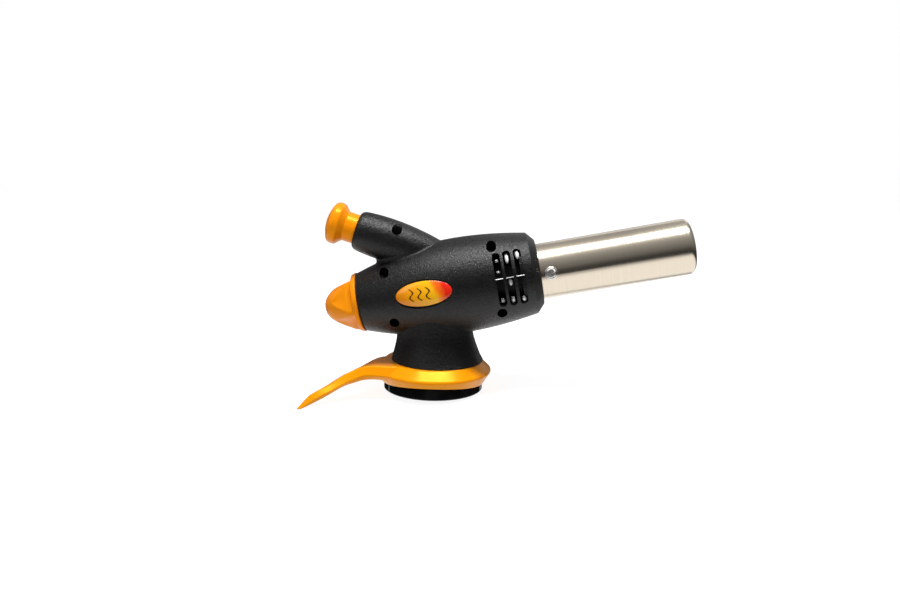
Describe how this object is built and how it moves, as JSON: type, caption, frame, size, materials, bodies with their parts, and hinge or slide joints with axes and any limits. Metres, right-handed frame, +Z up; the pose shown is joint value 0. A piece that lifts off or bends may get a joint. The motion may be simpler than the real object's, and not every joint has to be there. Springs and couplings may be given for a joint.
{
  "type": "butane torch",
  "caption": "Hand torch head for a plug-on gas cartridge: tilted vented body with steel flame tube, rear valve knob, push igniter and a lever-operated lock ring on the socket.",
  "frame": {"origin": "centre of the cartridge socket at its mouth, on the underside of the base ring", "axes": "+Z up the socket axis into the torch, +X towards the flame side; the body axis lies in the XZ plane and rises 11.5 degrees towards +X"},
  "size_m": [0.1976, 0.0638, 0.1007],
  "materials": {
    "housing_black": "matte, fine spark-eroded grain",
    "base_gloss_black": "glossy",
    "badge_print": "glossy domed print, yellow to red",
    "knob_orange": "satin",
    "button_orange": "satin",
    "lever_orange": "satin",
    "brushed_stainless": "brushed round the tube",
    "screw_steel": "bright plated",
    "screw_black": "black oxide",
    "collar_dark": "heat-darkened",
    "spring_steel": "bright wire",
    "claw_steel": "plated",
    "electrode_wire": "heat-tinted",
    "cast_zinc": "as cast",
    "brass": "machined",
    "ceramic_white": "glazed",
    "lead_rubber": "smooth",
    "seal_rubber": "smooth",
    "piezo_black": "moulded"
  },
  "bodies": {
    "torch_body": {"housing_right": "housing_black", "housing_left": "housing_black", "housing_screws": "screw_black", "badge": "badge_print", "flame_tube": "brushed_stainless", "flame_tube_screws": "screw_steel", "burner_mount": "cast_zinc", "mixing_tube": "brass", "burner_head": "brass", "air_collar": "collar_dark", "electrode_insulator": "ceramic_white", "electrode": "electrode_wire", "ignition_lead": "lead_rubber", "piezo_unit": "piezo_black", "valve_body": "brass", "gas_jet": "brass", "gland_nut": "brass", "spindle_seal": "seal_rubber", "cartridge_connector": "brass", "connector_seal": "seal_rubber", "gas_pipe": "brass", "base_ring": "base_gloss_black", "base_plate": "housing_black", "plate_screws": "screw_steel", "igniter_spring": "spring_steel"},
    "gas_knob": {"valve_knob": "knob_orange", "valve_spindle": "brass"},
    "gas_needle": {"valve_needle": "spring_steel"},
    "igniter": {"igniter_button": "button_orange", "piezo_plunger": "piezo_black"},
    "lock_ring": {"lock_lever": "lever_orange", "claw_ring": "claw_steel"}
  },
  "joints": [
    {"name": "gas_knob_turn", "type": "hinge", "parent": "torch_body", "child": "gas_knob", "pos_m": [-0.0441, 0, 0.04353], "axis": [-0.9799, 0, -0.1994], "range_deg": [0, 540]},
    {"name": "gas_needle_travel", "type": "slide", "parent": "torch_body", "child": "gas_needle", "axis": [-0.9799, 0, -0.1994], "range_m": [0, 0.0012]},
    {"name": "igniter_press", "type": "slide", "parent": "torch_body", "child": "igniter", "axis": [0.9573, 0, -0.289], "range_m": [0, 0.005], "stiffness_N_per_m": 900, "springref_m": -0.004, "deforming": ["igniter_spring"]},
    {"name": "lock_ring_turn", "type": "hinge", "parent": "torch_body", "child": "lock_ring", "pos_m": [0, 0, 0.012], "axis": [0, 0, 1], "range_deg": [-20, 15]}
  ],
  "couplings": [
    {"joint": "gas_needle_travel", "follows": "gas_knob_turn", "m_per_rad": 0.00012732}
  ]
}
